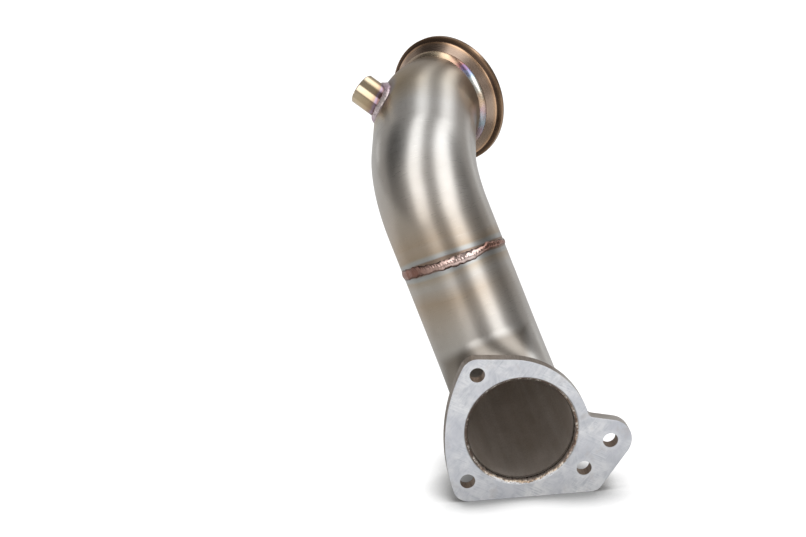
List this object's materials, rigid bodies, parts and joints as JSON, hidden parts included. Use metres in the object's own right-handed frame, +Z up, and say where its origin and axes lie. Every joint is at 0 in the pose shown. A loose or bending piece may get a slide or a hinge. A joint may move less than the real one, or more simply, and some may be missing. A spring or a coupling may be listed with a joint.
{
  "type": "turbo downpipe",
  "caption": "Welded stainless exhaust downpipe: compound-bent tube from a V-band ring to a bolted outlet flange, with a threaded sensor boss.",
  "frame": {"origin": "centre of the outlet bore on the outer face of the bolted flange", "axes": "-Y is that face's outward normal, +Z is up with the flange's lower edge level, +X is towards the flange's ear"},
  "size_m": [0.1701, 0.2535, 0.2834],
  "materials": {
    "flange_steel": "laser-cut stainless plate, face linished, edges grey-brown",
    "tube_steel": "satin stainless tube with straw and blue heat tint by the welds",
    "band_steel": "turned stainless, heat tinted bronze",
    "boss_steel": "turned stainless, polished, straw tint",
    "weld_metal": "rippled TIG weld, copper and straw tint"
  },
  "bodies": {
    "root": {"outlet_flange": "flange_steel", "lower_bend": "tube_steel", "upper_bend": "tube_steel", "vband_flange": "band_steel", "sensor_boss": "boss_steel", "weld_mid": "weld_metal", "weld_vband": "weld_metal", "weld_sensor_boss": "weld_metal", "weld_flange_outer": "weld_metal", "weld_flange_inner": "weld_metal"}
  },
  "joints": []
}
